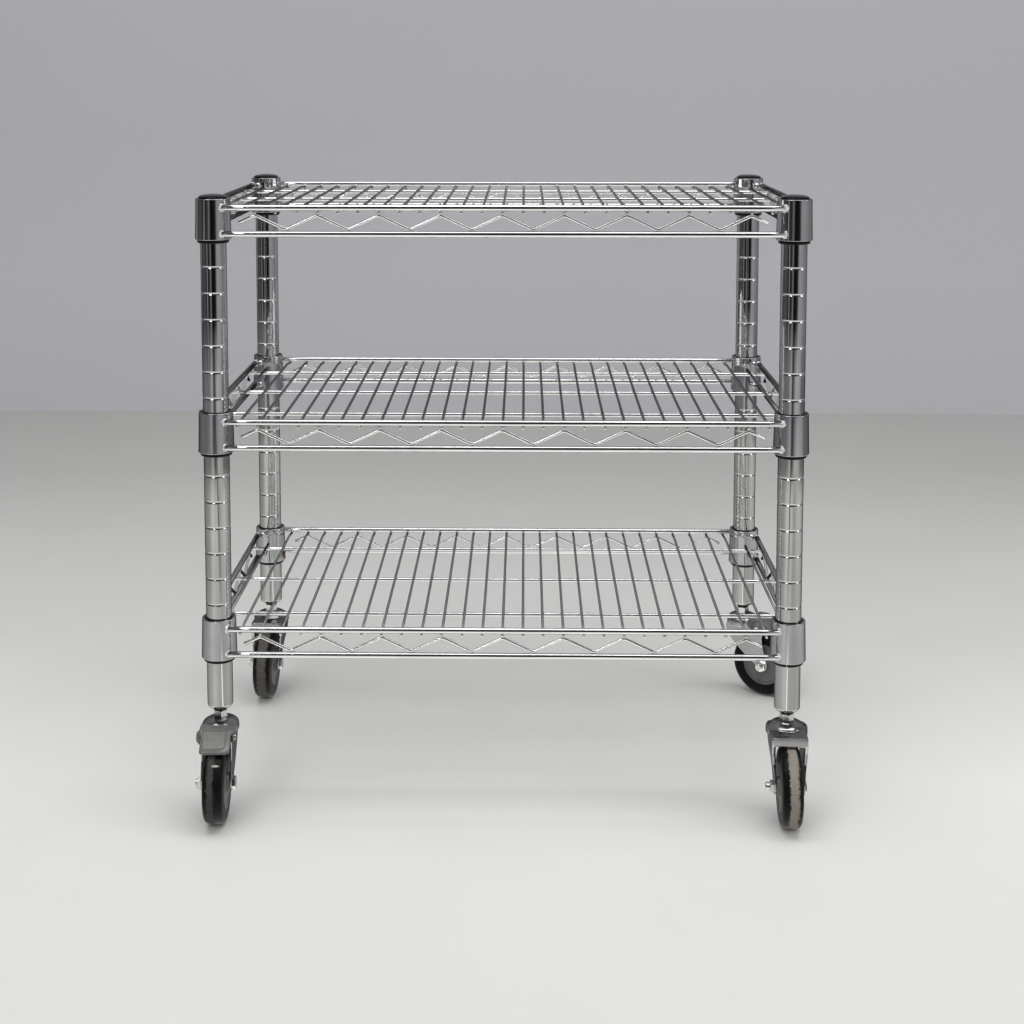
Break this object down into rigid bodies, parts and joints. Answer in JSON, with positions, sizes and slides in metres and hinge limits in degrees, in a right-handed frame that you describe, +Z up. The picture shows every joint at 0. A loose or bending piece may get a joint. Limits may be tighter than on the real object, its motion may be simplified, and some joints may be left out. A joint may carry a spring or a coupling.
{
  "type": "wire shelving rack",
  "caption": "Mobile wire shelving rack: grooved round posts carry chromed wire shelves on tapered sleeves and collars, on swivel casters, some with a foot brake.",
  "frame": {"origin": "on the floor under the middle of the rack, midway between the post axes", "axes": "+Z up, +X towards the rack's right-hand side, -Y towards its front"},
  "size_m": [0.6387, 0.3964, 0.6073],
  "materials": {
    "post_chrome": "polished chrome plate",
    "collar_chrome": "polished chrome plate",
    "wire_chrome": "bright chrome plate over drawn wire",
    "black_plastic": "moulded black plastic",
    "washer_black": "black plastic",
    "insert_steel": "zinc-plated steel",
    "fastener_zinc": "bright zinc plate",
    "fork_chrome": "chrome over pressed steel",
    "pedal_steel": "satin grey",
    "hub_plastic": "dark grey moulding",
    "tyre_rubber": "black rubber with a worn dusty tread band"
  },
  "bodies": {
    "frame": {"post_front_left": "post_chrome", "post_front_right": "post_chrome", "post_back_left": "post_chrome", "post_back_right": "post_chrome", "post_caps": "black_plastic", "post_threaded_inserts": "insert_steel", "top_shelf_sleeves": "black_plastic", "middle_shelf_sleeves": "black_plastic", "bottom_shelf_sleeves": "black_plastic", "caster_stems": "fastener_zinc", "caster_stem_washers": "washer_black", "caster_ball_races": "insert_steel"},
    "top_shelf": {"top_shelf_collars": "collar_chrome", "top_shelf_frame_rods": "wire_chrome", "top_shelf_truss_wires": "wire_chrome", "top_shelf_deck_wires": "wire_chrome", "top_shelf_support_wires": "wire_chrome"},
    "middle_shelf": {"middle_shelf_collars": "collar_chrome", "middle_shelf_frame_rods": "wire_chrome", "middle_shelf_truss_wires": "wire_chrome", "middle_shelf_deck_wires": "wire_chrome", "middle_shelf_support_wires": "wire_chrome"},
    "bottom_shelf": {"bottom_shelf_collars": "collar_chrome", "bottom_shelf_frame_rods": "wire_chrome", "bottom_shelf_truss_wires": "wire_chrome", "bottom_shelf_deck_wires": "wire_chrome", "bottom_shelf_support_wires": "wire_chrome"},
    "caster_front_left": {"fork_front_left": "fork_chrome", "axle_spacer_front_left": "insert_steel", "axle_bolt_front_left": "fastener_zinc", "axle_nut_front_left": "fastener_zinc", "brake_pedal_pin_front_left": "fastener_zinc"},
    "wheel_front_left": {"wheel_hub_front_left": "hub_plastic", "tyre_front_left": "tyre_rubber"},
    "pedal_front_left": {"brake_pedal_front_left": "pedal_steel"},
    "caster_front_right": {"fork_front_right": "fork_chrome", "axle_spacer_front_right": "insert_steel", "axle_bolt_front_right": "fastener_zinc", "axle_nut_front_right": "fastener_zinc"},
    "wheel_front_right": {"wheel_hub_front_right": "hub_plastic", "tyre_front_right": "tyre_rubber"},
    "caster_back_left": {"fork_back_left": "fork_chrome", "axle_spacer_back_left": "insert_steel", "axle_bolt_back_left": "fastener_zinc", "axle_nut_back_left": "fastener_zinc"},
    "wheel_back_left": {"wheel_hub_back_left": "hub_plastic", "tyre_back_left": "tyre_rubber"},
    "caster_back_right": {"fork_back_right": "fork_chrome", "axle_spacer_back_right": "insert_steel", "axle_bolt_back_right": "fastener_zinc", "axle_nut_back_right": "fastener_zinc", "brake_pedal_pin_back_right": "fastener_zinc"},
    "wheel_back_right": {"wheel_hub_back_right": "hub_plastic", "tyre_back_right": "tyre_rubber"},
    "pedal_back_right": {"brake_pedal_back_right": "pedal_steel"}
  },
  "joints": [
    {"name": "top_shelf_lift", "type": "slide", "parent": "frame", "child": "top_shelf", "axis": [0, 0, 1], "range_m": [0, 0.15]},
    {"name": "middle_shelf_lift", "type": "slide", "parent": "frame", "child": "middle_shelf", "axis": [0, 0, 1], "range_m": [0, 0.15]},
    {"name": "bottom_shelf_lift", "type": "slide", "parent": "frame", "child": "bottom_shelf", "axis": [0, 0, 1], "range_m": [0, 0.15]},
    {"name": "swivel_front_left", "type": "hinge", "parent": "frame", "child": "caster_front_left", "pos_m": [-0.278, -0.154, 0.085], "axis": [0, 0, 1], "continuous": true},
    {"name": "wheel_spin_front_left", "type": "hinge", "parent": "caster_front_left", "child": "wheel_front_left", "pos_m": [-0.27643, -0.18396, 0.0375], "axis": [0.9986, 0.0523, 0], "continuous": true},
    {"name": "brake_pedal_front_left", "type": "hinge", "parent": "caster_front_left", "child": "pedal_front_left", "pos_m": [-0.27669, -0.17897, 0.0805], "axis": [0.9986, 0.0523, 0], "range_deg": [0, 6]},
    {"name": "swivel_front_right", "type": "hinge", "parent": "frame", "child": "caster_front_right", "pos_m": [0.278, -0.154, 0.085], "axis": [0, 0, 1], "continuous": true},
    {"name": "wheel_spin_front_right", "type": "hinge", "parent": "caster_front_right", "child": "wheel_front_right", "pos_m": [0.27643, -0.18396, 0.0375], "axis": [0.9986, -0.0523, 0], "continuous": true},
    {"name": "swivel_back_left", "type": "hinge", "parent": "frame", "child": "caster_back_left", "pos_m": [-0.278, 0.154, 0.085], "axis": [0, 0, 1], "continuous": true},
    {"name": "wheel_spin_back_left", "type": "hinge", "parent": "caster_back_left", "child": "wheel_back_left", "pos_m": [-0.27905, 0.12402, 0.0375], "axis": [0.9994, -0.0349, 0], "continuous": true},
    {"name": "swivel_back_right", "type": "hinge", "parent": "frame", "child": "caster_back_right", "pos_m": [0.278, 0.154, 0.085], "axis": [0, 0, 1], "continuous": true},
    {"name": "wheel_spin_back_right", "type": "hinge", "parent": "caster_back_right", "child": "wheel_back_right", "pos_m": [0.30344, 0.1381, 0.0375], "axis": [0.5299, 0.848, 0], "continuous": true},
    {"name": "brake_pedal_back_right", "type": "hinge", "parent": "caster_back_right", "child": "pedal_back_right", "pos_m": [0.2992, 0.14075, 0.0805], "axis": [0.5299, 0.848, 0], "range_deg": [0, 6]}
  ]
}
